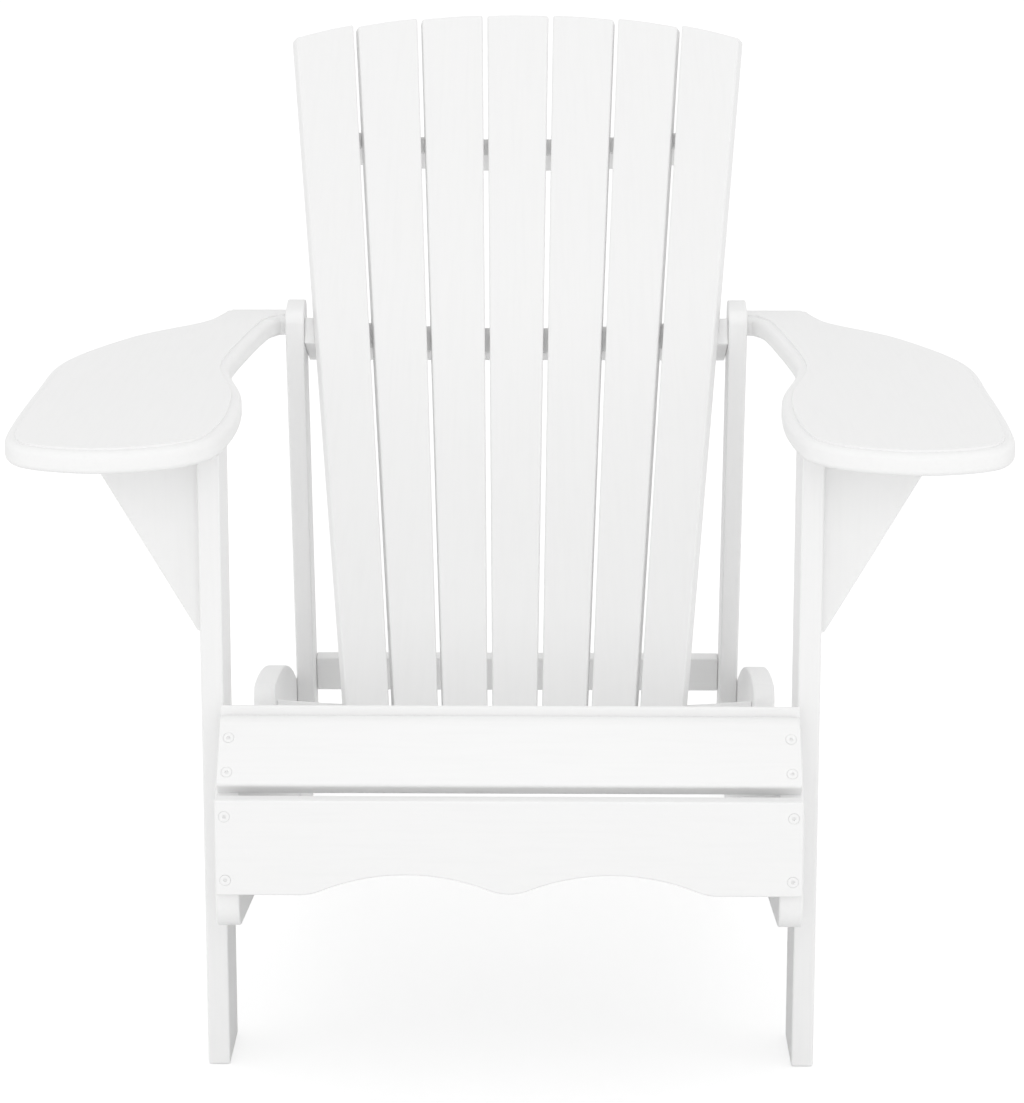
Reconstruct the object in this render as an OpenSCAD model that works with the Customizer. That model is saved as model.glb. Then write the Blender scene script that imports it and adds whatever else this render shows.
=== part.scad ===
// Adirondack garden chair: painted boards, screws, bolts and dowels as separate pieces.
// Millimetres, +Z up. The chair faces -Y and +X is the sitter's left.
// The origin is on the ground, under the middle of the chair's length and width.
// Side-profile places are [y, z], with y counted back from the front ends of the side rails.

/* [Side rails] */
// Clear width between the two side rails
rail_gap = 449; // [380:1:560]
// Thickness of a side rail
rail_t = 20; // [15:0.5:28]
// Height of the lower edge at the front end
rail_low_z = 160.5; // [120:1:190]
// Fall of the straight lower edge, in degrees
rail_low_angle = 8.3; // [4:0.1:11]
// Height of the crest that the seat starts from
crest_z = 320.4; // [290:0.2:370]
// Distance of the crest behind the front end
crest_y = 59; // [45:1:80]
// Slope of the sloped nose under the crest, in degrees
nose_angle = 46; // [35:1:55]
// Fall of the seat towards the back, in degrees
seat_angle = 17.5; // [10:0.5:21]
// Distance of the shoulder that ends the seat behind the front end
shoulder_y = 378; // [360:1:430]
// Height of the shoulder
shoulder_z = 262; // [250:1:300]
// Radius of the long curve from the shoulder to the rear leg
back_curve_r = 600; // [480:5:800]
// Slope of the curve where it starts, in degrees
curve_start = 1.3; // [0:0.1:6]
// Slope of the straight rear leg, in degrees
rear_leg_angle = 36; // [32:0.5:42]
// Width of the rear leg, measured square to it
rear_leg_w = 95; // [75:1:115]
// Distance of the rear foot's end behind the front end
foot_y = 880; // [860:1:940]

/* [Front legs] */
// Thickness of a front leg
leg_t = 19; // [15:0.5:28]
// Width of a front leg, front to back
leg_w = 72; // [60:1:90]
// Distance of a front leg behind the front end of the side rail
leg_y = 98; // [85:1:140]

/* [Arms] */
// Width over both arms
arm_span = 829; // [780:1:900]
// Height of the arms' top face
arm_z = 580; // [540:1:640]
// Thickness of an arm
arm_t = 20; // [16:0.5:28]
// Reach of an arm in front of the side rails
arm_overhang = 51; // [35:1:80]
// Width of an arm at its rear end
arm_rear_w = 64; // [50:1:80]
// Length of an arm's rear end beside the upright
arm_lap = 62; // [50:1:70]
// Distance behind the upright's front at which the arm's inner curve meets the upright
arm_meet = 24; // [18:1:26]
// Depth of the routed step round the edge of an arm
arm_step = 1.5; // [0.5:0.1:3]
// Distance of the routed step from the edge of an arm
arm_step_in = 6; // [5:0.5:9]
// Width of the bracket under an arm
gusset_w = 103; // [80:1:120]
// Height of the bracket under an arm
gusset_h = 174; // [140:1:200]
// Thickness of the bracket under an arm
gusset_t = 18; // [15:0.5:28]
// Distance of the bracket behind the front edge of the leg
gusset_in = 20; // [5:1:30]

/* [Rear uprights] */
// Thickness of an upright
upright_t = 18; // [14:0.5:24]
// Width of an upright
upright_w = 48; // [44:1:60]
// Forward lean of an upright, in degrees
upright_lean = 12; // [8:0.5:16]
// Distance of an upright's front face behind the front end, at ground level
upright_y = 681; // [670:1:700]
// Height of an upright's top end above the arm
upright_rise = 10; // [4:1:40]
// Radius of an upright's upper corners
upright_top_r = 12; // [4:1:18]
// Height of an upright's lower end
upright_low = 78; // [60:1:95]
// Height of the rear stretcher's lower edge, along the upright
stretcher_z = 167; // [140:1:220]
// Width of the rear stretcher
stretcher_w = 37; // [36:1:60]
// Thickness of the rear stretcher
stretcher_t = 15; // [12:0.5:20]

/* [Back] */
// Thickness of a back slat
slat_t = 15; // [12:0.5:20]
// Distance of the middle slat's lower rear edge behind the front end
back_y = 448.5; // [440:0.5:470]
// Height of the middle slat's lower rear edge
back_z = 186.5; // [175:0.5:200]
// Backward lean of the back, in degrees
back_lean = 23.5; // [18:0.5:28]
// Length of the middle slat
slat_len = 728; // [660:1:780]
// Spacing of the slats at their lower ends
pitch_low = 48.5; // [42:0.1:50]
// Spacing of the slats at their upper ends
pitch_top = 67.4; // [60:0.1:68]
// Gap between the rear edges of two slats
slat_gap = 6; // [4:0.1:8]
// Turn from one slat to the next, in degrees
slat_turn = 6.8; // [4:0.1:7.5]
// Radius of the arched top
arch_r = 610; // [500:5:1200]
// Thickness of the lower and middle back rails
back_rail_t = 26; // [18:0.5:30]
// Thickness of the top back rail
top_rail_t = 17; // [14:0.5:24]
// Height of the lower back rail up the slats
low_rail_at = 6; // [3:0.5:20]
// Height of the middle back rail up the slats
mid_rail_at = 383.5; // [375:0.5:390]
// Height of the top back rail up the slats
top_rail_at = 586; // [540:1:640]
// Depth of the lower back rail at its middle
low_rail_d = 34; // [24:1:50]
// Depth of the middle back rail at its middle
mid_rail_d = 32; // [26:0.5:38]
// Depth of the curved top back rail
top_rail_d = 57; // [40:1:70]
// Length of the top back rail
top_rail_len = 404; // [350:2:420]

/* [Seat] */
// Thickness of the nose slat and the apron
seat_t = 15; // [12:0.5:20]
// Thickness of a seat slat
seat_slat_t = 17; // [12:0.5:20]
// Number of seat slats behind the nose slat
seat_slats = 5; // [5:1:5]
// Width of a seat slat
seat_slat_w = 60; // [50:1:62]
// Width of the rounded nose slat
nose_w = 70; // [60:1:74]
// Distance of the nose slat up the sloped nose
nose_at = 21.5; // [18:0.5:26]
// Distance of the apron's and nose slat's ends inside the side rails' outer faces
apron_in = 2; // [0.5:0.5:6]
// Height of the apron
apron_h = 82; // [70:1:100]
// Height of the apron's lower edge
apron_z = 196; // [190:1:200]
// Rise of the two waves in the apron's lower edge
wave_h = 17.7; // [8:0.1:22]
// Distance of a wave's peak from the middle
wave_x = 85; // [70:1:95]
// Radius of a wave
wave_r = 182; // [140:1:220]
// Radius of the hollows beside the waves
wave_fillet = 45; // [20:1:50]

/* [Hardware] */
// Diameter of a screw head
screw_head_d = 9; // [7:0.5:11]
// Diameter of a screw shank
screw_d = 4; // [3:0.5:5]
// Diameter of a bolt head and nut flange
bolt_head_d = 13; // [11:0.5:14]
// Diameter of a bolt
bolt_d = 6; // [5:0.5:7]
// Diameter of a dowel
dowel_d = 8; // [6:0.5:10]
// Length of a dowel
dowel_len = 30; // [20:1:34]
// Length of the dowels between back slats and back rails
back_dowel_len = 24; // [16:1:30]
// Clearance round a screw, bolt or dowel
fit_gap = 0.1; // [0.05:0.05:0.3]
// Clearance at the ends of the seat slats
end_gap = 0.5; // [0.3:0.1:2]

/* [Hidden] */

$fn = 32;
eps = 0.01;
paint = "white";
steel = "silver";
raw_wood = "burlywood";

// The chair's length, from the tips of the arms to the ends of the rear feet
mid_y = (foot_y - arm_overhang) / 2;

// Faces across the chair, from the middle outwards
rail_in = rail_gap / 2;
rail_out = rail_in + rail_t;
leg_out = rail_out + leg_t;
upright_in = rail_in - upright_t;
rail_mid = rail_in + rail_t / 2;

// ---- helpers -------------------------------------------------------------

function unit(v) = v / norm(v);
function wrap(a) = a > 180 ? a - 360 : a < -180 ? a + 360 : a;
function dir(a) = [cos(a), sin(a)];
function angle_of(v) = atan2(v.y, v.x);

// Points on an arc from angle a0 to a1
function arc(c, r, a0, a1, n) = [for (i = [0:n]) c + r * dir(a0 + (a1 - a0) * i / n)];

// The corner b between a and c, rounded to radius r
function rounded(a, b, c, r, n = 6) =
    let (
        u = unit(a - b),
        v = unit(c - b),
        half = acos(u * v) / 2,
        centre = b + unit(u + v) * r / sin(half),
        a0 = angle_of(b + u * r / tan(half) - centre),
        turn = wrap(angle_of(b + v * r / tan(half) - centre) - a0)
    )
    arc(centre, r, a0, a0 + turn, n);

// A closed outline from [x, y, corner radius] rows; a radius of 0 keeps the corner
function outline(rows) =
    let (n = len(rows), p = [for (r = rows) [r.x, r.y]])
    [
        for (i = [0:n - 1])
            each (rows[i].z > 0
                ? rounded(p[(i + n - 1) % n], p[i], p[(i + 1) % n], rows[i].z)
                : [p[i]])
    ];

// A smooth curve through the points p, as Catmull-Rom spans of n steps
function curve_span(a, b, c, d, t) =
    0.5 * (2 * b + (c - a) * t + (2 * a - 5 * b + 4 * c - d) * t * t
        + (3 * b - 3 * c + d - a) * t * t * t);
function curve(p, n) =
    let (m = len(p) - 1)
    [
        for (i = [0:m - 1], k = [0:n - 1])
            curve_span(p[max(i - 1, 0)], p[i], p[i + 1], p[min(i + 2, m)], k / n),
        p[m]
    ];

// The same closed outline with each point moved in by d (the outline runs clockwise).
// Points that would come closer than d to another part of the edge are left out.
function inset(p, d) =
    let (n = len(p))
    [
        for (i = [0:n - 1])
            let (
                u = unit(p[i] - p[(i + n - 1) % n]),
                v = unit(p[(i + 1) % n] - p[i]),
                side = unit([u.y, -u.x] + [v.y, -v.x]),
                q = p[i] + side * d / max(0.5, side * [u.y, -u.x])
            )
            if (min([for (r = p) norm(q - r)]) > 0.98 * d)
                q
    ];

// Puts side-profile places into the chair's own frame
module placed() {
    translate([0, -mid_y, 0])
        children();
}

// The piece as drawn on the +X side, or its mirror image on the -X side
module on_side(side) {
    mirror([side > 0 ? 0 : 1, 0, 0])
        children();
}

// A [y, z] outline, extruded across the chair from x0 to x1
module board_x(points, x0, x1) {
    translate([x0, 0, 0])
        rotate([90, 0, 90])
            linear_extrude(x1 - x0)
                polygon(points);
}

// ---- fasteners -----------------------------------------------------------
// Each one lies along -Z from the face of its head at z = 0.

head_h = 2.5;
socket_d = 3.4;
bolt_head_h = 3;
bolt_socket_d = 4;
bolt_short = 4;
sleeve_d = bolt_d + 3;
sleeve_len = 14;

module screw(length) {
    color(steel)
        difference() {
            screw_body(length, 0);
            translate([0, 0, -head_h * 0.6])
                cylinder(d = socket_d, h = head_h, $fn = 6);
        }
}

module screw_body(length, c) {
    rotate_extrude()
        polygon([
            [0, c > 0 ? 1 : 0],
            [screw_head_d / 2 + c, c > 0 ? 1 : 0],
            [screw_head_d / 2 + c, -0.5],
            [screw_d / 2 + c, -head_h - c],
            [screw_d / 2 + c, -length + screw_d],
            [0, -length - c]
        ]);
}

module screw_hole(length) {
    screw_body(length, fit_gap);
}

// A bolt with a flush flat head, and the sleeve nut that it screws into
module bolt(length) {
    color(steel)
        difference() {
            union() {
                translate([0, 0, -bolt_head_h])
                    cylinder(d = bolt_head_d, h = bolt_head_h);
                translate([0, 0, -length])
                    cylinder(d = bolt_d, h = length - bolt_head_h / 2);
            }
            translate([0, 0, -bolt_head_h * 0.7])
                cylinder(d = bolt_socket_d, h = bolt_head_h, $fn = 6);
        }
}

module sleeve_nut() {
    color(steel)
        difference() {
            union() {
                translate([0, 0, -bolt_head_h])
                    cylinder(d = bolt_head_d, h = bolt_head_h);
                translate([0, 0, -sleeve_len])
                    cylinder(d = sleeve_d, h = sleeve_len - bolt_head_h / 2);
            }
            translate([0, 0, -sleeve_len - 1])
                cylinder(d = bolt_d + 2 * fit_gap, h = sleeve_len - 1);
        }
}

// The hole for a bolt from the face at z = 0 to the nut's face at z = -grip
module bolt_hole(grip) {
    translate([0, 0, -grip - 1])
        cylinder(d = bolt_d + 2 * fit_gap, h = grip + 2);
    translate([0, 0, -bolt_head_h - fit_gap])
        cylinder(d = bolt_head_d + 2 * fit_gap, h = bolt_head_h + 1);
    translate([0, 0, -grip - 1])
        cylinder(d = bolt_head_d + 2 * fit_gap, h = bolt_head_h + 1 + fit_gap);
    translate([0, 0, -grip - 1])
        cylinder(d = sleeve_d + 2 * fit_gap, h = sleeve_len + 1 + fit_gap);
}

// ---- side rails ----------------------------------------------------------

function seat_line(y) = crest_z - (y - crest_y) * tan(seat_angle);
function low_line(y) = rail_low_z - y * tan(rail_low_angle);
nose_z = crest_z - crest_y * tan(nose_angle);

curve_c = [shoulder_y, shoulder_z] - back_curve_r * dir(90 - curve_start);
leg_top = curve_c + back_curve_r * dir(90 - rear_leg_angle);
leg_low = leg_top - rear_leg_w * dir(90 - rear_leg_angle);
leg_slope = tan(rear_leg_angle);
toe_z = leg_top.y - (foot_y - leg_top.x) * leg_slope;
heel_y = leg_low.x + leg_low.y / leg_slope;
knee_y = (leg_low.y + leg_low.x * leg_slope - rail_low_z) / (leg_slope - tan(rail_low_angle));

function rail_outline() = outline([
    [0, low_line(0), 25],
    [0, nose_z, 4],
    [crest_y, crest_z, 4],
    [shoulder_y, seat_line(shoulder_y), 0],
    [shoulder_y, shoulder_z, 14],
    each [for (p = arc(curve_c, back_curve_r, 86 - curve_start, 90 - rear_leg_angle, 12)) [p.x, p.y, 0]],
    [foot_y, toe_z, 16],
    [foot_y, 0, 5],
    [heel_y, 0, 5],
    [knee_y, low_line(knee_y), 120]
]);

module side_rail(side) {
    color(paint)
        placed()
            difference() {
                on_side(side)
                    board_x(rail_outline(), rail_in, rail_out);
                leg_bolt_places(side)
                    bolt_hole(leg_t + rail_t);
                upright_bolt_places(side)
                    bolt_hole(rail_t + upright_t);
                lower_rail_screw_places(side)
                    screw_hole(rail_screw_len);
                apron_screw_places(side)
                    screw_hole(seat_screw_len);
                nose_screw_places(side)
                    screw_hole(seat_screw_len);
                for (i = [1:seat_slats])
                    seat_screw_places(i, side)
                        screw_hole(seat_screw_len);
            }
}

// ---- front legs ----------------------------------------------------------

arm_low = arm_z - arm_t;
leg_mid = leg_y + leg_w / 2;
gusset_mid = leg_y + gusset_in + gusset_t / 2;

module front_leg(side) {
    color(paint)
        placed()
            difference() {
                on_side(side)
                    translate([rail_out, leg_y, 0])
                        cube([leg_t, leg_w, arm_low]);
                leg_bolt_places(side)
                    bolt_hole(leg_t + rail_t);
                bracket_leg_dowel_places(side)
                    dowel(fit_gap);
                leg_dowel_places(side)
                    dowel(fit_gap);
            }
}

// The two bolts that hold a side rail to its front leg, from the leg's outer face
bolt_edge = 40;
module leg_bolt_places(side) {
    for (z = [low_line(leg_mid) + bolt_edge, seat_line(leg_mid) - bolt_edge])
        on_side(side)
            translate([leg_out, leg_mid, z])
                rotate([0, 90, 0])
                    children();
}

module leg_bolts() {
    placed()
        for (side = [-1, 1])
            leg_bolt_places(side)
                bolt(leg_t + rail_t - bolt_short);
}

module leg_bolt_nuts() {
    placed()
        for (side = [-1, 1])
            leg_bolt_places(side)
                translate([0, 0, -leg_t - rail_t])
                    rotate([180, 0, 0])
                        sleeve_nut();
}

// ---- arms and their brackets ---------------------------------------------

arm_out = arm_span / 2;
arm_front = -arm_overhang;
arm_neck = upright_front(arm_z);
arm_back = arm_neck + arm_lap;

// Plan of the +X arm, clockwise from the corner where it meets the upright: a straight
// rear end, a shoulder that swings out, a wide rounded front and a waist beside the seat
function arm_plan() = [
    [rail_in, arm_back],
    [arm_in_rear, arm_back],
    each curve([
        [arm_in_rear + 1, arm_back - 11],
        [arm_in_rear + 20, arm_back - 73],
        [arm_out - 48, arm_back - 155],
        [arm_out - 4.5, arm_back - 275],
        [arm_out, arm_front + 263],
        [arm_out - 1.5, arm_front + 111],
        [arm_out - 9, arm_front + 45],
        [arm_out - 34, arm_front + 14],
        [arm_out - 87, arm_front],
        [rail_in + 50, arm_front + 16],
        [rail_in + 22, arm_front + 43],
        [rail_in + 11, arm_front + 76],
        [rail_in + 5, arm_front + 152],
        [rail_in + 9, arm_front + 244],
        [rail_in + 26, arm_neck - 275],
        [rail_in + 31, arm_neck - 230],
        [rail_in + 29, arm_neck - 167],
        [rail_in + 20, arm_neck - 58],
        [rail_in + 17.5, arm_neck - 34],
        [rail_in + 13, arm_neck - 2],
        [rail_in + 5, arm_neck + arm_meet - 7]
    ], 5),
    [rail_in, arm_neck + arm_meet]
];
arm_in_rear = rail_in + arm_rear_w;
arm_ease = 3;

// The arm's plan drawn in all round, except where it lies against the upright
module eased_plan(plan, ease) {
    polygon(inset(plan, ease));
    translate([rail_in, arm_neck + arm_meet])
        square([arm_t, arm_lap - arm_meet - ease]);
}

module arm(side) {
    plan = arm_plan();
    color(paint)
        placed()
            difference() {
                on_side(side) {
                    translate([0, 0, arm_low])
                        linear_extrude(arm_ease)
                            eased_plan(plan, arm_ease);
                    translate([0, 0, arm_low + arm_ease])
                        linear_extrude(arm_t - 2 * arm_ease - arm_step)
                            polygon(plan);
                    translate([0, 0, arm_z - arm_step - arm_ease])
                        linear_extrude(arm_ease)
                            eased_plan(plan, arm_ease);
                    translate([0, 0, arm_z - arm_step])
                        linear_extrude(arm_step)
                            eased_plan(plan, arm_step_in);
                }
                leg_dowel_places(side)
                    dowel(fit_gap);
                bracket_dowel_places(side)
                    dowel(fit_gap);
                arm_screw_places(side)
                    screw_hole(rail_screw_len);
            }
}

module arm_bracket(side) {
    color(paint)
        placed()
            difference() {
                on_side(side)
                    translate([leg_out, gusset_mid + gusset_t / 2, arm_low])
                        rotate([90, 0, 0])
                            linear_extrude(gusset_t)
                                polygon([[0, 0], [gusset_w, 0], [gusset_w, -4], [4, -gusset_h], [0, -gusset_h]]);
                bracket_leg_dowel_places(side)
                    dowel(fit_gap);
                bracket_dowel_places(side)
                    dowel(fit_gap);
            }
}

// Dowels from the outer face of the leg into the upright edge of the bracket
module bracket_leg_dowel_places(side) {
    for (down = [0.25, 0.6])
        on_side(side)
            translate([leg_out, gusset_mid, arm_low - gusset_h * down])
                rotate([0, -90, 0])
                    children();
}

// A glued dowel, half in each of the two boards that meet at z = 0
module dowel(c) {
    translate([0, 0, -dowel_len + arm_t * 0.6 - c])
        cylinder(d = dowel_d + 2 * c, h = dowel_len + 2 * c);
}

module leg_dowel_places(side) {
    for (y = [leg_y + leg_w * 0.22, leg_y + leg_w * 0.78])
        on_side(side)
            translate([rail_out + leg_t / 2, y, arm_low])
                children();
}

module bracket_dowel_places(side) {
    for (x = [leg_out + gusset_w * 0.3, leg_out + gusset_w * 0.62])
        on_side(side)
            translate([x, gusset_mid, arm_low])
                children();
}

module arm_dowels() {
    color(raw_wood)
        placed()
            for (side = [-1, 1]) {
                leg_dowel_places(side)
                    dowel(0);
                bracket_dowel_places(side)
                    dowel(0);
                bracket_leg_dowel_places(side)
                    dowel(0);
            }
}

// Screws from the upright's inner face into the rear end of the arm. They go in before
// the middle back rail, whose ends then cover them.
arm_screw_in = 31;
arm_screw_gap = 13;

module arm_screw_places(side) {
    for (y = [0, arm_screw_gap])
        on_side(side)
            translate([upright_in, arm_neck + arm_screw_in + y, arm_low + arm_t / 2])
                rotate([0, -90, 0])
                    children();
}

module arm_screws() {
    placed()
        for (side = [-1, 1])
            arm_screw_places(side)
                screw(rail_screw_len);
}

// ---- rear uprights and stretcher -----------------------------------------

function upright_front(z) = upright_y - z * tan(upright_lean);

// Drawn with y across the upright's width and z along it, from the ground up
module leaning() {
    translate([0, upright_y, 0])
        rotate([upright_lean, 0, 0])
            children();
}

upright_top = (arm_z + upright_rise) / cos(upright_lean) - upright_w * tan(upright_lean) / 2;
upright_foot = upright_low / cos(upright_lean);

module upright(side) {
    color(paint)
        placed()
            difference() {
                on_side(side)
                    leaning()
                        board_x(outline([
                            [0, upright_foot, 6],
                            [0, upright_top, upright_top_r],
                            [upright_w, upright_top, upright_top_r],
                            [upright_w, upright_foot, 6]
                        ]), upright_in, rail_in);
                upright_bolt_places(side)
                    bolt_hole(rail_t + upright_t);
                middle_rail_screw_places(side)
                    screw_hole(seat_screw_len);
                stretcher_screw_places(side)
                    screw_hole(rail_screw_len);
                arm_screw_places(side)
                    screw_hole(rail_screw_len);
            }
}

// Bolts from the side rail's outer face through the foot of the upright
upright_bolt_up = 20;
upright_bolt_gap = 40;

module upright_bolt_places(side) {
    for (up = [upright_bolt_up, upright_bolt_up + upright_bolt_gap])
        on_side(side)
            leaning()
                translate([rail_out, upright_w / 2, upright_foot + up])
                    rotate([0, 90, 0])
                        children();
}

module upright_bolts() {
    placed()
        for (side = [-1, 1])
            upright_bolt_places(side)
                bolt(rail_t + upright_t - bolt_short);
}

module upright_bolt_nuts() {
    placed()
        for (side = [-1, 1])
            upright_bolt_places(side)
                translate([0, 0, -rail_t - upright_t])
                    rotate([180, 0, 0])
                        sleeve_nut();
}

module rear_stretcher() {
    color(paint)
        placed()
            difference() {
                leaning()
                    translate([-upright_in, upright_w - stretcher_t, stretcher_z])
                        cube([2 * upright_in, stretcher_t, stretcher_w]);
                for (side = [-1, 1])
                    stretcher_screw_places(side)
                        screw_hole(rail_screw_len);
            }
}

rail_screw_len = 50;

// Screws from the upright's outer face into the ends of the stretcher
module stretcher_screw_places(side) {
    for (up = [0.3, 0.75])
        on_side(side)
            leaning()
                translate([rail_in, upright_w - stretcher_t / 2, stretcher_z + stretcher_w * up])
                    rotate([0, 90, 0])
                        children();
}

module stretcher_screws() {
    placed()
        for (side = [-1, 1])
            stretcher_screw_places(side)
                screw(rail_screw_len);
}

// ---- the back ------------------------------------------------------------
// The seven slats lie on a shallow cone, so that each one is flat and tapers, and its
// neighbours turn towards the sitter. In the back's own frame x is across, y points
// backwards, square to the middle slat, and z runs up it from its lower end.

spread = (pitch_top - pitch_low) / slat_len;
chord = 2 * sin(slat_turn / 2);
function cone_r(z) = (pitch_low + spread * z) / chord;
cone_k = spread / chord;
slats_each_side = 3;

module back_frame() {
    translate([0, back_y, back_z])
        rotate([-back_lean, 0, 0])
            children();
}

// The frame of slat i, from -3 to 3: x across it, y through it, z along its middle line
module slat_frame(i) {
    f = i * slat_turn;
    up = unit([cone_k * sin(f), -cone_k * (1 - cos(f)), 1]);
    back = unit([sin(f), cos(f), -cone_k * (1 - cos(f))]);
    across = cross(back, up);
    back_frame()
        multmatrix([
            [across.x, back.x, up.x, cone_r(0) * sin(f)],
            [across.y, back.y, up.y, -cone_r(0) * (1 - cos(f))],
            [across.z, back.z, up.z, 0],
            [0, 0, 0, 1]
        ])
            children();
}

// How much longer the way up slat i is than the way up the middle slat
function stretch(i) = norm([cone_k * sin(i * slat_turn), cone_k * (1 - cos(i * slat_turn)), 1]);
function slat_w(v) = pitch_low + spread * v - slat_gap;

// The arched top is one circle, drawn on the unrolled back; the slats fan out on it
fan = atan(spread);
fan_r = pitch_low / spread;
function arch_c(i) = [-(fan_r + slat_len - arch_r) * sin(i * fan),
                      (fan_r + slat_len - arch_r) * cos(i * fan) - fan_r];
// Height of the arch at distance u from the middle line of slat i
function arch_top(i, u) = arch_c(i).y + sqrt(arch_r * arch_r - pow(u - arch_c(i).x, 2));

slat_steps = 6;
slat_low_r = 3;

function slat_outline(i) =
    let (
        low = slat_w(0) / 2,
        high = slat_w(slat_len) / 2
    )
    [
        each rounded([0, 0], [-low, 0], [-high, slat_len], slat_low_r, 3),
        for (k = [0:slat_steps])
            let (u = high * (2 * k / slat_steps - 1))
            [u - sign(u) * (slat_len - arch_top(i, u)) * spread / 2, arch_top(i, u)],
        each rounded([high, slat_len], [low, 0], [0, 0], slat_low_r, 3)
    ];

// The glued dowels of slat i, one into each back rail, hidden behind its face
function rail_heights() = [
    low_rail_at + back_rail_t / 2,
    mid_rail_at + back_rail_t / 2,
    top_rail_at + top_rail_t / 2
];
back_dowel_in = 9;

module back_dowels(i, heights, c) {
    for (z = heights)
        slat_frame(i)
            translate([0, -back_dowel_in - c, z * stretch(i)])
                rotate([-90, 0, 0])
                    cylinder(d = dowel_d + 2 * c, h = back_dowel_len + 2 * c);
}

module back_slat(i) {
    color(paint)
        placed()
            difference() {
                slat_frame(i)
                    rotate([90, 0, 0])
                        linear_extrude(slat_t)
                            polygon(slat_outline(i));
                back_dowels(i, rail_heights(), fit_gap);
            }
}

module back_slat_dowels() {
    color(raw_wood)
        placed()
            for (i = [-slats_each_side:slats_each_side])
                back_dowels(i, rail_heights(), 0);
}

// The front edge of a back rail has a flat for each slat, between the corners numbered
// from -3.5 to 3.5 on an arc of radius rim(r)
function rim(r) = r / cos(slat_turn / 2);
function corner(r, j) = [0, -r] + rim(r) * dir(90 + j * slat_turn);
last_corner = slats_each_side + 0.5;

// A back rail with its lower face at height at, drawn by its outline in x and y
module back_rail(at, thick, points) {
    color(paint)
        placed()
            difference() {
                back_frame()
                    translate([0, 0, at])
                        linear_extrude(thick)
                            polygon(points);
                for (i = [-slats_each_side:slats_each_side])
                    back_dowels(i, [at + thick / 2], fit_gap);
                children();
            }
}

module top_back_rail() {
    r = cone_r(top_rail_at + top_rail_t);
    a = corner(r, last_corner - 1);
    b = corner(r, last_corner);
    half = top_rail_len / 2;
    end_y = a.y + (b.y - a.y) * (half + a.x) / (a.x - b.x);
    back = r + top_rail_d;
    to = acos(half / back);
    back_rail(top_rail_at, top_rail_t, [
        [half, end_y],
        each [for (j = [1 - last_corner:last_corner - 1]) corner(r, j)],
        [-half, end_y],
        each arc([0, -r], back, 180 - to, to, 24)
    ]);
}

module middle_back_rail() {
    r = cone_r(mid_rail_at + back_rail_t);
    end_y = corner(r, last_corner).y;
    back_rail(mid_rail_at, back_rail_t, [
        [upright_in, end_y],
        each [for (j = [-last_corner:last_corner]) corner(r, j)],
        [-upright_in, end_y],
        [-upright_in, mid_rail_d],
        [upright_in, mid_rail_d]
    ])
        for (side = [-1, 1])
            middle_rail_screw_places(side)
                screw_hole(seat_screw_len);
}

module lower_back_rail() {
    r = cone_r(low_rail_at + back_rail_t);
    from = 90 - last_corner * slat_turn;
    to = acos(rail_in / rim(r));
    back_rail(low_rail_at, back_rail_t, [
        each arc([0, -r], rim(r), to, from, 4),
        each [for (j = [1 - last_corner:last_corner - 1]) corner(r, j)],
        each arc([0, -r], rim(r), 180 - from, 180 - to, 4),
        [-rail_in, low_rail_d],
        [rail_in, low_rail_d]
    ])
        for (side = [-1, 1])
            lower_rail_screw_places(side)
                screw_hole(rail_screw_len);
}

// Screws from the outer faces of the uprights, under the arms, into the ends of the
// middle rail
mid_screw_up = 9;
mid_screw_y = [-18, 0];

module middle_rail_screw_places(side) {
    for (y = mid_screw_y)
        on_side(side)
            back_frame()
                translate([rail_in, y, mid_rail_at + mid_screw_up])
                    rotate([0, 90, 0])
                        children();
}

module middle_rail_screws() {
    placed()
        for (side = [-1, 1])
            middle_rail_screw_places(side)
                screw(seat_screw_len);
}

// Screws from the outer faces of the side rails into the ends of the lower rail
low_screw_in = 20;
low_screw_gap = 34;

module lower_rail_screw_places(side) {
    r = cone_r(low_rail_at + back_rail_t);
    end_y = sqrt(pow(rim(r), 2) - pow(rail_in, 2)) - r;
    for (y = [end_y + low_screw_in, end_y + low_screw_in + low_screw_gap])
        on_side(side)
            back_frame()
                translate([rail_out, y, low_rail_at + back_rail_t / 2])
                    rotate([0, 90, 0])
                        children();
}

module lower_rail_screws() {
    placed()
        for (side = [-1, 1])
            lower_rail_screw_places(side)
                screw(rail_screw_len);
}

// ---- seat, nose slat and apron -------------------------------------------

seat_screw_len = 38;
screw_edge = 16;
apron_len = 2 * (rail_out - apron_in);

// Drawn with y back and down along the seat line and z square to it, from the crest
module on_seat() {
    translate([0, crest_y, crest_z])
        rotate([-seat_angle, 0, 0])
            children();
}

first_slat_at = 5;
seat_run = (shoulder_y - crest_y) / cos(seat_angle) - first_slat_at - end_gap;
seat_gap = (seat_run - seat_slats * seat_slat_w) / (seat_slats - 1);
function slat_at(i) = first_slat_at + (i - 1) * (seat_slat_w + seat_gap);

seat_len = 2 * (rail_out - end_gap);
slat_r = 3;

module seat_slat(i) {
    color(paint)
        placed()
            difference() {
                on_seat()
                    board_x(outline([
                        [slat_at(i), 0, 1],
                        [slat_at(i), seat_slat_t, slat_r],
                        [slat_at(i) + seat_slat_w, seat_slat_t, slat_r],
                        [slat_at(i) + seat_slat_w, 0, 1]
                    ]), -seat_len / 2, seat_len / 2);
                for (side = [-1, 1])
                    seat_screw_places(i, side)
                        screw_hole(seat_screw_len);
            }
}

module seat_screw_places(i, side) {
    for (y = [slat_at(i) + screw_edge, slat_at(i) + seat_slat_w - screw_edge])
        on_side(side)
            on_seat()
                translate([rail_mid, y, seat_slat_t])
                    children();
}

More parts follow.
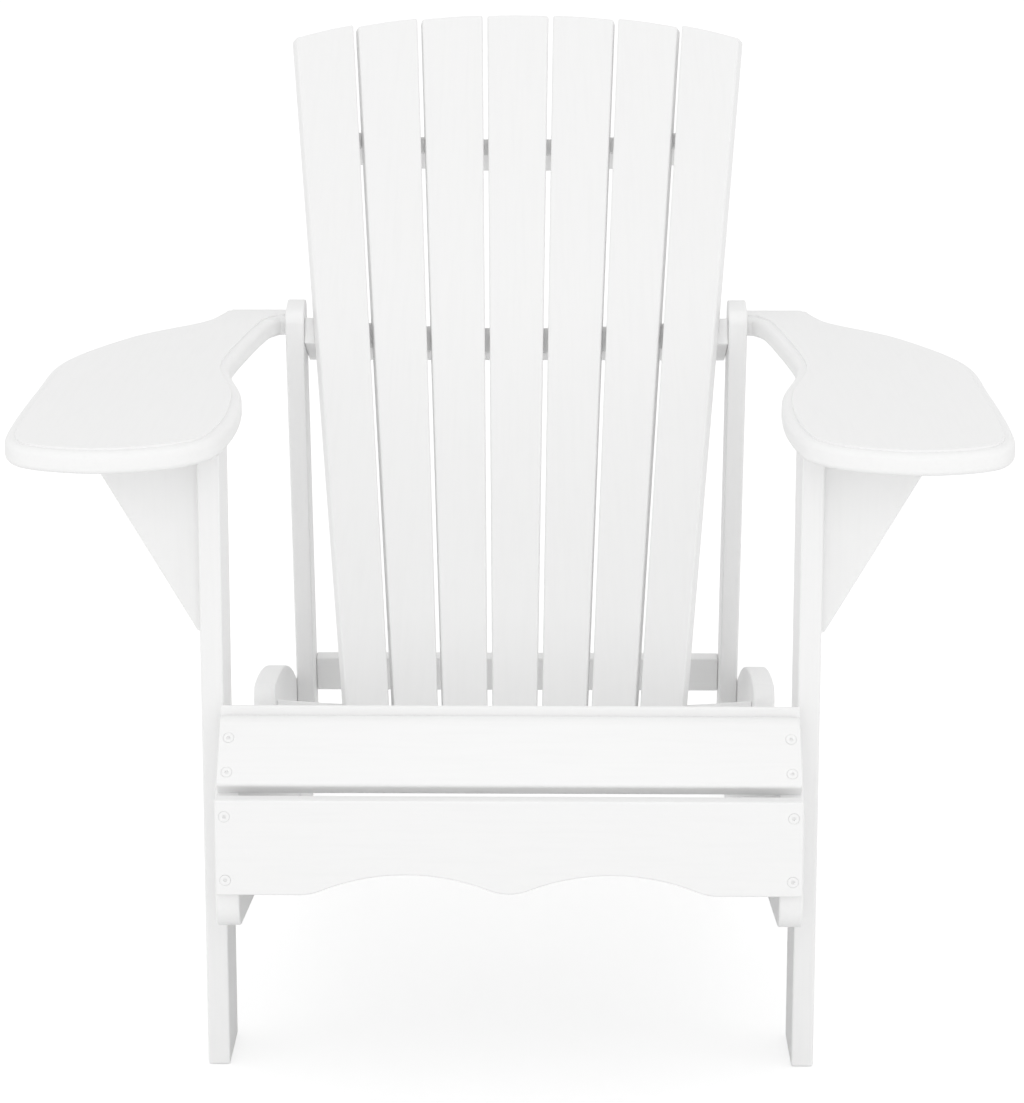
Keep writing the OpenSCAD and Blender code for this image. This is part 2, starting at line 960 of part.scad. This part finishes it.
module seat_slat_screws() {
    placed()
        for (i = [1:seat_slats], side = [-1, 1])
            seat_screw_places(i, side)
                screw(seat_screw_len);
}

// Drawn with y up the sloped nose of the side rails and z square to it
module on_nose() {
    translate([0, 0, nose_z])
        rotate([nose_angle, 0, 0])
            children();
}

nose_round = seat_t - 2;

module nose_slat() {
    color(paint)
        placed()
            difference() {
                on_nose()
                    board_x(outline([
                        [nose_at, 0, 1],
                        [nose_at, seat_t, slat_r],
                        [nose_at + nose_w, seat_t, nose_round],
                        [nose_at + nose_w, 0, 1]
                    ]), -apron_len / 2, apron_len / 2);
                for (side = [-1, 1])
                    nose_screw_places(side)
                        screw_hole(seat_screw_len);
            }
}

nose_screw_in = 12;
nose_screw_gap = 32;

module nose_screw_places(side) {
    for (y = [nose_at + nose_screw_in, nose_at + nose_screw_in + nose_screw_gap])
        on_side(side)
            on_nose()
                translate([rail_mid, y, seat_t])
                    children();
}

module nose_slat_screws() {
    placed()
        for (side = [-1, 1])
            nose_screw_places(side)
                screw(seat_screw_len);
}

// One half of the apron's lower edge, from its end to the middle: a flat, a hollow,
// the wave itself and the hollow that the two waves share
wave_c = [wave_x, wave_h - wave_r];
wave_reach = sqrt(wave_h * (2 * (wave_r + wave_fillet) - wave_h));
wave_a = asin(wave_reach / (wave_r + wave_fillet));
wave_b = asin(wave_x / (wave_r + wave_fillet));
mid_c = [0, wave_c.y + (wave_r + wave_fillet) * cos(wave_b)];

function wave_half() = [
    [apron_len / 2, 0],
    each arc([wave_x + wave_reach, wave_fillet], wave_fillet, 270, 270 - wave_a, 4),
    each arc(wave_c, wave_r, 90 - wave_a, 90 + wave_b, 14),
    each arc(mid_c, wave_fillet, 270 + wave_b, 270, 4)
];

module apron() {
    half = wave_half();
    n = len(half);
    color(paint)
        placed()
            difference() {
                translate([0, 0, apron_z])
                    rotate([90, 0, 0])
                        linear_extrude(seat_t)
                            polygon([
                                [-apron_len / 2, apron_h],
                                [apron_len / 2, apron_h],
                                each half,
                                each [for (k = [n - 2:-1:0]) [-half[k].x, half[k].y]]
                            ]);
                for (side = [-1, 1])
                    apron_screw_places(side)
                        screw_hole(seat_screw_len);
            }
}

apron_screw_edge = 13;

module apron_screw_places(side) {
    for (z = [apron_z + apron_screw_edge, apron_z + apron_h - apron_screw_edge - 1])
        on_side(side)
            translate([rail_mid, -seat_t, z])
                rotate([90, 0, 0])
                    children();
}

module apron_screws() {
    placed()
        for (side = [-1, 1])
            apron_screw_places(side)
                screw(seat_screw_len);
}

// ---- nodes ---------------------------------------------------------------

side_rail(1);  // left_side_rail
side_rail(-1);  // right_side_rail
front_leg(1);  // left_front_leg
front_leg(-1);  // right_front_leg
arm(1);  // left_arm
arm(-1);  // right_arm
arm_bracket(1);  // left_arm_bracket
arm_bracket(-1);  // right_arm_bracket
upright(1);  // left_upright
upright(-1);  // right_upright
rear_stretcher();
back_slat(-3);  // back_slat_1
back_slat(-2);  // back_slat_2
back_slat(-1);  // back_slat_3
back_slat(0);  // back_slat_4
back_slat(1);  // back_slat_5
back_slat(2);  // back_slat_6
back_slat(3);  // back_slat_7
top_back_rail();
middle_back_rail();
lower_back_rail();
apron();
nose_slat();
seat_slat(1);  // seat_slat_1
seat_slat(2);  // seat_slat_2
seat_slat(3);  // seat_slat_3
seat_slat(4);  // seat_slat_4
seat_slat(5);  // seat_slat_5
apron_screws();
nose_slat_screws();
seat_slat_screws();
back_slat_dowels();
middle_rail_screws();
lower_rail_screws();
stretcher_screws();
arm_dowels();
arm_screws();
leg_bolts();
leg_bolt_nuts();
upright_bolts();
upright_bolt_nuts();
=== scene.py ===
# %% [markdown]
# # A painted garden chair with a fan back
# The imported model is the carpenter's frame: every board, screw, bolt and dowel is already in its
# place, in metres, with the chair facing -Y. Boards straight from CAD have knife-sharp
# edges, but real ones are eased with sandpaper or a router before they are painted. So this
# script makes an eased twin of each board, shapes the two arms afresh, and paints everything.

# %% Load the frame
import math

import bmesh
import bpy
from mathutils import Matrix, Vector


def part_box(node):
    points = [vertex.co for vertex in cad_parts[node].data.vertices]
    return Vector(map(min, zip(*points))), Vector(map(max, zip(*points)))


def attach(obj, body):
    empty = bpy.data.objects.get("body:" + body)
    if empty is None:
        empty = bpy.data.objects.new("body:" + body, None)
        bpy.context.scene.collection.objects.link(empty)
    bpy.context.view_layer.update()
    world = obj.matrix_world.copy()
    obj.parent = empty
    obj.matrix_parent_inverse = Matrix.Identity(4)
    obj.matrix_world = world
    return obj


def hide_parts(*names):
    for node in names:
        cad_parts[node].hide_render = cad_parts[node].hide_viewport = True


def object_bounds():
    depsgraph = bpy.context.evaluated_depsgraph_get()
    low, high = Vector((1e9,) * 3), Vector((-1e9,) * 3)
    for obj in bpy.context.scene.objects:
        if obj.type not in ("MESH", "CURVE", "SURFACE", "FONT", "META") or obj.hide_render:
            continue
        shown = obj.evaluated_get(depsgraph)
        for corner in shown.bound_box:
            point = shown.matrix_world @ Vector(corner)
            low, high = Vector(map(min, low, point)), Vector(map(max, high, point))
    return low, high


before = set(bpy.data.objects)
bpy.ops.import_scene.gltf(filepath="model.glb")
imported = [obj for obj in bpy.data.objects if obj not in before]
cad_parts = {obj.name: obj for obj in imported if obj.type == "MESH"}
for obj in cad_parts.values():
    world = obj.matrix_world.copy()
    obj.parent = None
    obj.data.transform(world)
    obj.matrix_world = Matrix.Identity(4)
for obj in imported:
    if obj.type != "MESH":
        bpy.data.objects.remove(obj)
cad_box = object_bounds()
chair_low, chair_high = cad_box
MM = 0.001
MERGE = 0.02 * MM
print("chair box, m:", [round(v, 4) for v in (*chair_low, *chair_high)])

# %% [markdown]
# ## Paint, metal and dowel wood
# The chair wears an opaque white satin paint. Under it the timber still shows a little: very
# shallow lines run along each board, the brush leaves a finer ripple over them, and the sheen
# wanders slightly from place to place. One function makes the paint, and it is told how
# a board lies, so that the lines always run lengthways. The pattern reads Object coordinates,
# turned by one Mapping node and stretched by a second.

# %% A helper that adds one shader node
def shader_node(tree, kind, values=None, **settings):
    made = tree.nodes.new(kind)
    for key, value in settings.items():
        setattr(made, key, value)
    for key, value in (values or {}).items():
        made.inputs[key].default_value = value
    return made


# %% The white paint, for a board that lies in a given direction
PAINT_LIGHT = (0.875, 0.875, 0.873, 1)
PAINT_DEEP = (0.864, 0.864, 0.862, 1)
ACROSS, ALONG = 1.0, 0.06
GRAIN_SCALE, BRUSH_SCALE, SHEEN_SCALE = 240, 900, 7
SATIN_LOW, SATIN_HIGH = 0.36, 0.50
PAINT_IOR = 1.47


def white_paint(name, stretch, lean=0.0, fan=0.0):
    paint = bpy.data.materials.new(name)
    paint.use_nodes = True
    tree = paint.node_tree
    shader = tree.nodes["Principled BSDF"]
    place = shader_node(tree, "ShaderNodeTexCoord")
    turned = shader_node(tree, "ShaderNodeMapping", {"Rotation": (lean, fan, 0)})
    stretched = shader_node(tree, "ShaderNodeMapping", {"Scale": stretch})
    grain = shader_node(tree, "ShaderNodeTexNoise",
                        {"Scale": GRAIN_SCALE, "Detail": 5, "Roughness": 0.55, "Distortion": 0.4})
    brush = shader_node(tree, "ShaderNodeTexNoise", {"Scale": BRUSH_SCALE, "Detail": 2})
    sheen = shader_node(tree, "ShaderNodeTexNoise", {"Scale": SHEEN_SCALE, "Detail": 3})
    tone = shader_node(tree, "ShaderNodeValToRGB")
    tone.color_ramp.elements[0].position = 0.3
    tone.color_ramp.elements[0].color = PAINT_DEEP
    tone.color_ramp.elements[1].position = 0.55
    tone.color_ramp.elements[1].color = PAINT_LIGHT
    gloss = shader_node(tree, "ShaderNodeMapRange", {"To Min": SATIN_LOW, "To Max": SATIN_HIGH})
    lines = shader_node(tree, "ShaderNodeBump", {"Strength": 0.07, "Distance": 0.0005})
    ripple = shader_node(tree, "ShaderNodeBump", {"Strength": 0.06, "Distance": 0.0002})
    link = tree.links.new
    link(place.outputs["Object"], turned.inputs["Vector"])
    link(turned.outputs["Vector"], stretched.inputs["Vector"])
    link(stretched.outputs["Vector"], grain.inputs["Vector"])
    link(turned.outputs["Vector"], sheen.inputs["Vector"])
    link(stretched.outputs["Vector"], brush.inputs["Vector"])
    link(grain.outputs["Fac"], tone.inputs["Fac"])
    link(tone.outputs["Color"], shader.inputs["Base Color"])
    link(sheen.outputs["Fac"], gloss.inputs["Value"])
    link(gloss.outputs["Result"], shader.inputs["Roughness"])
    link(grain.outputs["Fac"], lines.inputs["Height"])
    link(brush.outputs["Fac"], ripple.inputs["Height"])
    link(lines.outputs["Normal"], ripple.inputs["Normal"])
    link(ripple.outputs["Normal"], shader.inputs["Normal"])
    shader.inputs["IOR"].default_value = PAINT_IOR
    return paint


paint_across = white_paint("paint_across_the_chair", (ALONG, ACROSS, ACROSS))
paint_back = white_paint("paint_front_to_back", (ACROSS, ALONG, ACROSS))
paint_up = white_paint("paint_upright", (ACROSS, ACROSS, ALONG))
print("paints:", paint_across.name, paint_back.name, paint_up.name)

# %% [markdown]
# The plain hardware is zinc-plated steel: metallic, light grey, a little cloudy, with fine
# scratches. Its heads show only from the sides and from behind. The dowels are bare wood and
# lie inside the joints.

# %% Zinc plate
def zinc_plate():
    zinc = bpy.data.materials.new("zinc_plate")
    zinc.use_nodes = True
    tree = zinc.node_tree
    shader = tree.nodes["Principled BSDF"]
    shader.inputs["Metallic"].default_value = 1.0
    place = shader_node(tree, "ShaderNodeTexCoord")
    cloud = shader_node(tree, "ShaderNodeTexNoise", {"Scale": 160, "Detail": 4})
    tone = shader_node(tree, "ShaderNodeValToRGB")
    tone.color_ramp.elements[0].color = (0.50, 0.50, 0.49, 1)
    tone.color_ramp.elements[1].color = (0.70, 0.70, 0.69, 1)
    rough = shader_node(tree, "ShaderNodeMapRange", {"To Min": 0.28, "To Max": 0.46})
    scratch = shader_node(tree, "ShaderNodeTexNoise", {"Scale": 2600, "Detail": 1})
    bump = shader_node(tree, "ShaderNodeBump", {"Strength": 0.15, "Distance": 0.00005})
    link = tree.links.new
    for noise in (cloud, scratch):
        link(place.outputs["Object"], noise.inputs["Vector"])
    link(cloud.outputs["Fac"], tone.inputs["Fac"])
    link(tone.outputs["Color"], shader.inputs["Base Color"])
    link(cloud.outputs["Fac"], rough.inputs["Value"])
    link(rough.outputs["Result"], shader.inputs["Roughness"])
    link(scratch.outputs["Fac"], bump.inputs["Height"])
    link(bump.outputs["Normal"], shader.inputs["Normal"])
    return zinc


zinc = zinc_plate()

# %% Bare dowel wood
def dowel_wood():
    wood = bpy.data.materials.new("dowel_wood")
    wood.use_nodes = True
    tree = wood.node_tree
    shader = tree.nodes["Principled BSDF"]
    place = shader_node(tree, "ShaderNodeTexCoord")
    stretched = shader_node(tree, "ShaderNodeMapping", {"Scale": (1, 1, 0.1)})
    grain = shader_node(tree, "ShaderNodeTexNoise", {"Scale": 420, "Detail": 6})
    tone = shader_node(tree, "ShaderNodeValToRGB")
    tone.color_ramp.elements[0].color = (0.56, 0.40, 0.24, 1)
    tone.color_ramp.elements[1].color = (0.78, 0.62, 0.43, 1)
    bump = shader_node(tree, "ShaderNodeBump", {"Strength": 0.3, "Distance": 0.0002})
    link = tree.links.new
    link(place.outputs["Object"], stretched.inputs["Vector"])
    link(stretched.outputs["Vector"], grain.inputs["Vector"])
    link(grain.outputs["Fac"], tone.inputs["Fac"])
    link(tone.outputs["Color"], shader.inputs["Base Color"])
    link(grain.outputs["Fac"], bump.inputs["Height"])
    link(bump.outputs["Normal"], shader.inputs["Normal"])
    shader.inputs["Roughness"].default_value = 0.65
    return wood


bare_wood = dowel_wood()
print("hardware finishes:", zinc.name, bare_wood.name)

# %% [markdown]
# ## Easing the edges of a board
# An edge that has been eased catches a line of light, and that line is most of what makes a
# painted board look solid. A CAD mesh is loose triangles, so the copy is merged first, and its
# flat faces are dissolved back into whole ones. Then the Bevel operator rounds the
# outer edges of the board. Rims of screw holes are found by their size and get a much finer bevel,
# and edges that fold inwards are left alone. Loop Slide is switched off: next to a hole it would
# drag the new corners along the leftover edges of the flat face and fold thin slivers over.

# %% Select one object and nothing else
def only(thing):
    bpy.ops.object.select_all(action="DESELECT")
    thing.select_set(True)
    bpy.context.view_layer.objects.active = thing


# %% Find the outer edges and the hole rims of the mesh in edit mode
SHARP = math.radians(30)
RIM_SIZE = 20 * MM


def is_sharp(edge):
    return edge.is_manifold and edge.is_convex and edge.calc_face_angle(0) > SHARP


def outer_edges_and_rims(mesh):
    sharp = {e for e in mesh.edges if is_sharp(e)}
    outer, rims = [], []
    while sharp:
        chain, ahead = [], [sharp.pop()]
        while ahead:
            edge = ahead.pop()
            chain.append(edge)
            for joined in {e for v in edge.verts for e in v.link_edges} & sharp:
                sharp.remove(joined)
                ahead.append(joined)
        places = [v.co for e in chain for v in e.verts]
        size = max(max(p[k] for p in places) - min(p[k] for p in places) for k in range(3))
        (rims if size < RIM_SIZE else outer).extend(chain)
    return outer, rims


# %% Round chosen edges of the mesh in edit mode
def round_edges(piece, wanted, radius, steps):
    bpy.ops.mesh.select_all(action="DESELECT")
    mesh = bmesh.from_edit_mesh(piece.data)
    for edge in wanted(mesh):
        edge.select_set(True)
    bmesh.update_edit_mesh(piece.data)
    bpy.ops.mesh.bevel(offset=radius, segments=steps, profile=0.5, affect="EDGES",
                       loop_slide=False)


# %% Smooth the shading, and keep the large faces flat
SMOOTH_BELOW = math.radians(40)


def smooth_shading(piece):
    only(piece)
    bpy.ops.object.shade_smooth_by_angle(angle=SMOOTH_BELOW)
    even = piece.modifiers.new("even", "WEIGHTED_NORMAL")
    even.keep_sharp = True
    bpy.ops.object.modifier_apply(modifier=even.name)


# %% Make the eased twin of a CAD node
RIM_ROUND = 0.35 * MM
RIM_STEPS, EDGE_STEPS = 2, 3
FLAT_WITHIN = math.radians(1)


def eased_twin(node, radius):
    piece = bpy.data.objects.new("eased_" + node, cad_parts[node].data.copy())
    bpy.context.scene.collection.objects.link(piece)
    only(piece)
    bpy.ops.object.mode_set(mode="EDIT")
    bpy.ops.mesh.select_all(action="SELECT")
    bpy.ops.mesh.remove_doubles(threshold=MERGE)
    bpy.ops.mesh.dissolve_limited(angle_limit=FLAT_WITHIN)
    bpy.ops.mesh.mark_seam(clear=True)
    mesh = bmesh.from_edit_mesh(piece.data)
    for edge in outer_edges_and_rims(mesh)[0]:
        edge.seam = True
    round_edges(piece, lambda mesh: outer_edges_and_rims(mesh)[1],
                RIM_ROUND, RIM_STEPS)
    round_edges(piece, lambda mesh: [e for e in mesh.edges if e.seam], radius, EDGE_STEPS)
    bpy.ops.mesh.select_all(action="SELECT")
    bpy.ops.mesh.mark_seam(clear=True)
    bpy.ops.object.mode_set(mode="OBJECT")
    smooth_shading(piece)
    return piece


# %% Finish a piece: paint it, attach it to the chair's body and hide the CAD part it replaces
def finish_piece(piece, paint, node):
    piece.data.materials.clear()
    piece.data.materials.append(paint)
    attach(piece, "root")
    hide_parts(node)


# %% [markdown]
# ## The boards of the base and seat
# Side rails, legs, brackets, uprights and the boards across the chair are all sawn from
# planed stock. Each gets the easing that its own shape allows: a seat slat already has
# rounded long edges, so only its cut ends are left to ease.

# %% Boards, with the radius of their eased edges and the way their grain runs
base_boards = {
    paint_back: {"side_rail": 1.8},
    paint_up: {"front_leg": 1.8, "arm_bracket": 1.5, "upright": 1.8},
}
for paint, kinds in base_boards.items():
    for kind, radius in kinds.items():
        for side in ("left", "right"):
            node = f"{side}_{kind}"
            finish_piece(eased_twin(node, radius * MM), paint, node)

cross_boards = {"rear_stretcher": 1.8, "top_back_rail": 1.2, "middle_back_rail": 1.5,
                "lower_back_rail": 1.5, "apron": 1.6, "nose_slat": 0.8}
cross_boards |= {f"seat_slat_{i}": 0.8 for i in range(1, 6)}
for node, radius in cross_boards.items():
    finish_piece(eased_twin(node, radius * MM), paint_across, node)
print("boards eased:", 8 + len(cross_boards))

# %% [markdown]
# ## The fan back
# Seven thin slats spread like a hand of cards. Each one leans back and turns a
# little more than its neighbour, so each gets its own paint, turned to run up that slat.

# %% The seven back slats
BACK_LEAN = math.radians(23.5)
SLAT_FAN = math.radians(1.49)
MIDDLE_SLAT = 4
SLAT_ROUND = 2.2 * MM
for i in range(1, 8):
    node = f"back_slat_{i}"
    fan = (i - MIDDLE_SLAT) * SLAT_FAN
    paint = white_paint("paint_" + node, (ACROSS, ACROSS, ALONG), BACK_LEAN, fan)
    finish_piece(eased_twin(node, SLAT_ROUND), paint, node)
print("slats eased: 7")

# %% [markdown]
# ## The arms
# An arm is one wide board with a routed edge: a flat top that ends in a small step, a narrow
# ledge below the step, a round shoulder, and a softer rounding underneath. The CAD arm gives
# the plan, so a copy of it is cut level with Bisect, which leaves the plan as one face.
#
# The edge runs all round the board except where it lies flat against the upright. A joiner would
# rout the whole edge on a board left a little too wide, and saw that side off afterwards. The same
# order is used here: two corners of the plan are moved past the upright's face first.

# %% The plan of the arm as one flat face
arm_low, arm_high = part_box("left_arm")
UPRIGHT_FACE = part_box("left_upright")[1].x
PLAN_CUT = arm_low.z + 14 * MM
LEVEL_WITHIN = math.radians(0.05)
SPARE = 15 * MM
CLOSE = 0.05 * MM

arm = bpy.data.objects.new("left_arm_board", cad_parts["left_arm"].data.copy())
bpy.context.scene.collection.objects.link(arm)
only(arm)
bpy.ops.object.mode_set(mode="EDIT")
bpy.ops.mesh.select_all(action="SELECT")
bpy.ops.mesh.remove_doubles(threshold=MERGE)
bpy.ops.mesh.bisect(plane_co=(0, 0, PLAN_CUT), plane_no=(0, 0, 1), use_fill=True,
                    clear_inner=True, clear_outer=True)
bpy.ops.mesh.select_all(action="SELECT")
bpy.ops.mesh.dissolve_limited(angle_limit=LEVEL_WITHIN)
bpy.ops.transform.translate(value=(0, 0, arm_low.z - PLAN_CUT))
bpy.ops.mesh.select_all(action="DESELECT")
plan = bmesh.from_edit_mesh(arm.data)
for corner in plan.verts:
    corner.select_set(abs(corner.co.x - UPRIGHT_FACE) < CLOSE)
print("plan of the arm: faces", len(plan.faces), "corners", len(plan.verts),
      "moved", sum(v.select for v in plan.verts))
bmesh.update_edit_mesh(arm.data)
bpy.ops.transform.translate(value=(-SPARE, 0, 0))

# %% [markdown]
# The CAD outline is a polygon with straight sides about 20 mm long, and their corners would
# show along the rounded edge. Converted to a curve with automatic handles, the same points
# carry a smooth line. The square corners at the rear end and the points beside them keep
# straight handles. A curved piece there would be shorter than the rounding of the edge, and
# would fold over itself.

# %% Smooth the outline
SQUARE_CORNER = math.radians(50)
PIECES_PER_SIDE = 3
bpy.ops.object.mode_set(mode="OBJECT")
bpy.ops.object.convert(target="CURVE")
arm = bpy.context.object
bpy.ops.object.mode_set(mode="EDIT")
bpy.ops.curve.select_all(action="SELECT")
bpy.ops.curve.spline_type_set(type="BEZIER")
bpy.ops.curve.handle_type_set(type="AUTOMATIC")
bpy.ops.curve.select_all(action="DESELECT")
outline = arm.data.splines[0]
outline.resolution_u = PIECES_PER_SIDE
places = [point.co.copy() for point in outline.bezier_points]
square = [(places[i] - places[i - 1]).angle(places[(i + 1) % len(places)] - places[i])
          > SQUARE_CORNER for i in range(len(places))]
for i, point in enumerate(outline.bezier_points):
    straight = square[i - 1] or square[i] or square[(i + 1) % len(places)]
    point.select_control_point = straight
    point.select_left_handle = point.select_right_handle = straight
bpy.ops.curve.handle_type_set(type="VECTOR")
bpy.ops.object.mode_set(mode="OBJECT")
bpy.ops.object.convert(target="MESH")
arm = bpy.context.object
bpy.ops.object.mode_set(mode="EDIT")
bpy.ops.mesh.select_all(action="SELECT")
bpy.ops.mesh.remove_doubles(threshold=MERGE)
bpy.ops.mesh.edge_face_add()

# %% [markdown]
# The plan is extruded up to the ledge and both edges are rounded. The top face is then inset by
# the width of the ledge and raised by the height of the step. Last comes the saw cut along
# the upright, a second Bisect, which fills the cut with a flat face.

# %% Round the board, raise the step and cut the side flat
UNDER_ROUND = 4.5 * MM
TOP_ROUND = 6 * MM
LEDGE = 2.6 * MM
STEP = 1.7 * MM
STEP_ROUND = 1 * MM
UNDER_STEPS, TOP_STEPS, STEP_STEPS = 4, 6, 4
ledge_z = arm_high.z - STEP


def level_edges(height):
    def wanted(mesh):
        return [e for e in mesh.edges if all(abs(v.co.z - height) < CLOSE for v in e.verts)]
    return wanted


bpy.ops.mesh.select_all(action="SELECT")
bpy.ops.mesh.extrude_region_move(TRANSFORM_OT_translate={"value": (0, 0, ledge_z - arm_low.z)})
bpy.ops.mesh.select_all(action="SELECT")
bpy.ops.mesh.normals_make_consistent(inside=False)
round_edges(arm, level_edges(arm_low.z), UNDER_ROUND, UNDER_STEPS)
round_edges(arm, level_edges(ledge_z), TOP_ROUND, TOP_STEPS)
bpy.ops.mesh.select_all(action="DESELECT")
mesh = bmesh.from_edit_mesh(arm.data)
top = max((f for f in mesh.faces if abs(f.calc_center_median().z - ledge_z) < CLOSE),
          key=lambda face: face.calc_area())
top.select_set(True)
bmesh.update_edit_mesh(arm.data)
bpy.ops.mesh.inset(thickness=LEDGE, use_even_offset=True)
bpy.ops.mesh.extrude_region_move(TRANSFORM_OT_translate={"value": (0, 0, STEP)})
round_edges(arm, level_edges(arm_high.z), STEP_ROUND, STEP_STEPS)
bpy.ops.mesh.select_all(action="SELECT")
bpy.ops.mesh.bisect(plane_co=(UPRIGHT_FACE, 0, 0), plane_no=(1, 0, 0), use_fill=True,
                    clear_inner=True)
bpy.ops.object.mode_set(mode="OBJECT")
smooth_shading(arm)
finish_piece(arm, paint_back, "left_arm")
print("left arm:", len(arm.data.polygons), "faces")

# %% [markdown]
# The right arm is the mirror image of the left. Its mesh is a copy of its own, turned over in X,
# and because mirroring turns a mesh inside out, its normals are recalculated.

# %% The right arm
twin = bpy.data.objects.new("right_arm_board", arm.data.copy())
bpy.context.scene.collection.objects.link(twin)
only(twin)
bpy.ops.object.mode_set(mode="EDIT")
bpy.ops.mesh.select_all(action="SELECT")
bpy.ops.transform.mirror(constraint_axis=(True, False, False), center_override=(0, 0, 0))
bpy.ops.mesh.normals_make_consistent(inside=False)
bpy.ops.object.mode_set(mode="OBJECT")
smooth_shading(twin)
finish_piece(twin, paint_back, "right_arm")

# %% [markdown]
# ## Screws and dowels
# The screws that show were driven first and painted over with the boards: a white head in a
# thin groove, with a small drive recess. The fine bevel on the head and on the rim of its hole
# makes that groove. The other hardware keeps its CAD shape and only gets its finish.

# %% Painted screw heads
SCREW_ROUND = 0.3 * MM
for node in ("apron_screws", "nose_slat_screws", "seat_slat_screws"):
    finish_piece(eased_twin(node, SCREW_ROUND), paint_up, node)

# %% Plated steel and bare wood
def give_finish(node, finish):
    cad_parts[node].data.materials.clear()
    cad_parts[node].data.materials.append(finish)


plated = ("middle_rail_screws", "lower_rail_screws", "stretcher_screws", "arm_screws",
          "leg_bolts", "leg_bolt_nuts", "upright_bolts", "upright_bolt_nuts")
for node in plated:
    give_finish(node, zinc)
for node in ("back_slat_dowels", "arm_dowels"):
    give_finish(node, bare_wood)
print("plated nodes:", len(plated))

# %% [markdown]
# ## Studio
# A plain white floor under an even white surround, with one large soft lamp in front and one at
# each side. The surround lights the chair from everywhere, as a white studio does, so shadows
# are only soft creases between boards. The floor gives back as much light as white card, but
# the camera sees it lifted by a glow of its own, which keeps the shadow on it faint.

# %% Floor
FLOOR_SIZE = 60
FLOOR_DROP = 0.5 * MM
CARD_TONE, SEEN_TONE, SEEN_GLOW = 0.86, 0.5, 0.62
bpy.ops.object.select_all(action="DESELECT")
bpy.ops.mesh.primitive_plane_add(size=FLOOR_SIZE, location=(0, 0, -FLOOR_DROP))
floor = bpy.context.object
floor.name = "studio_floor"
floor_paint = bpy.data.materials.new("studio_white")
floor_paint.use_nodes = True
tree = floor_paint.node_tree
tree.nodes.clear()
matt = shader_node(tree, "ShaderNodeBsdfDiffuse")
lift = shader_node(tree, "ShaderNodeEmission", {"Color": (1, 1, 1, 1)})
seen = shader_node(tree, "ShaderNodeLightPath")
tone = shader_node(tree, "ShaderNodeMapRange", {"To Min": CARD_TONE, "To Max": SEEN_TONE})
amount = shader_node(tree, "ShaderNodeMath", {1: SEEN_GLOW}, operation="MULTIPLY")
total = shader_node(tree, "ShaderNodeAddShader")
out = shader_node(tree, "ShaderNodeOutputMaterial")
tree.links.new(seen.outputs["Is Camera Ray"], tone.inputs["Value"])
tree.links.new(tone.outputs["Result"], matt.inputs["Color"])
tree.links.new(seen.outputs["Is Camera Ray"], amount.inputs[0])
tree.links.new(amount.outputs[0], lift.inputs["Strength"])
tree.links.new(matt.outputs[0], total.inputs[0])
tree.links.new(lift.outputs[0], total.inputs[1])
tree.links.new(total.outputs[0], out.inputs["Surface"])
floor.data.materials.append(floor_paint)

# %% Surround
SURROUND = 0.93
world = bpy.data.worlds.new("white_studio")
bpy.context.scene.world = world
world.use_nodes = True
tree = world.node_tree
sky = tree.nodes["Background"]
sky.inputs["Color"].default_value = (1, 1, 1, 1)
seen = shader_node(tree, "ShaderNodeLightPath")
strength = shader_node(tree, "ShaderNodeMapRange", {"To Min": SURROUND, "To Max": 1.0})
tree.links.new(seen.outputs["Is Camera Ray"], strength.inputs["Value"])
tree.links.new(strength.outputs["Result"], sky.inputs["Strength"])

# %% [markdown]
# The lamps are hidden from the camera and from reflections. A satin arm seen from behind,
# at a low angle, would otherwise mirror the front lamp and burn out.

# %% Lamps
def soft_lamp(name, watts, size, place, turn):
    data = bpy.data.lights.new(name, "AREA")
    data.energy = watts
    data.size = size
    lamp = bpy.data.objects.new(name, data)
    bpy.context.scene.collection.objects.link(lamp)
    lamp.location = place
    lamp.rotation_euler = [math.radians(v) for v in turn]
    lamp.visible_camera = False
    lamp.visible_glossy = False


for name, watts, size, place, turn in (
        ("front_lamp", 15, 1.6, (0.0, -3.4, 1.35), (78, 0, 0)),
        ("left_lamp", 6, 1.8, (3.0, -1.2, 1.3), (74, 0, 68)),
        ("right_lamp", 6, 1.8, (-3.0, -1.2, 1.3), (74, 0, -68)),
):
    soft_lamp(name, watts, size, place, turn)
print("lamps: 3")

# %% [markdown]
# ## Camera
# A long lens from about three metres away, at the height of a standing person's chest, a little to
# the sitter's left and looking slightly down.

# %% Camera
IMAGE_WIDE, IMAGE_HIGH = 1024, 1103
FOCAL = 3336
SENSOR = 36
SHIFT_DOWN = 0.1
LOOK_DOWN, TURN_LEFT = 12.15, 0.664
camera_data = bpy.data.cameras.new("camera")
camera_data.sensor_width = SENSOR
camera_data.lens = SENSOR * FOCAL / IMAGE_HIGH
camera_data.shift_y = -SHIFT_DOWN * IMAGE_WIDE / IMAGE_HIGH
camera = bpy.data.objects.new("camera", camera_data)
bpy.context.scene.collection.objects.link(camera)
camera.location = (0.0330, -3.0472, 1.1379)
camera.rotation_euler = (math.radians(90 - LOOK_DOWN), 0, math.radians(TURN_LEFT))
bpy.context.scene.camera = camera
bpy.context.scene.view_settings.view_transform = "Standard"
print("lens, mm:", round(camera_data.lens, 1))
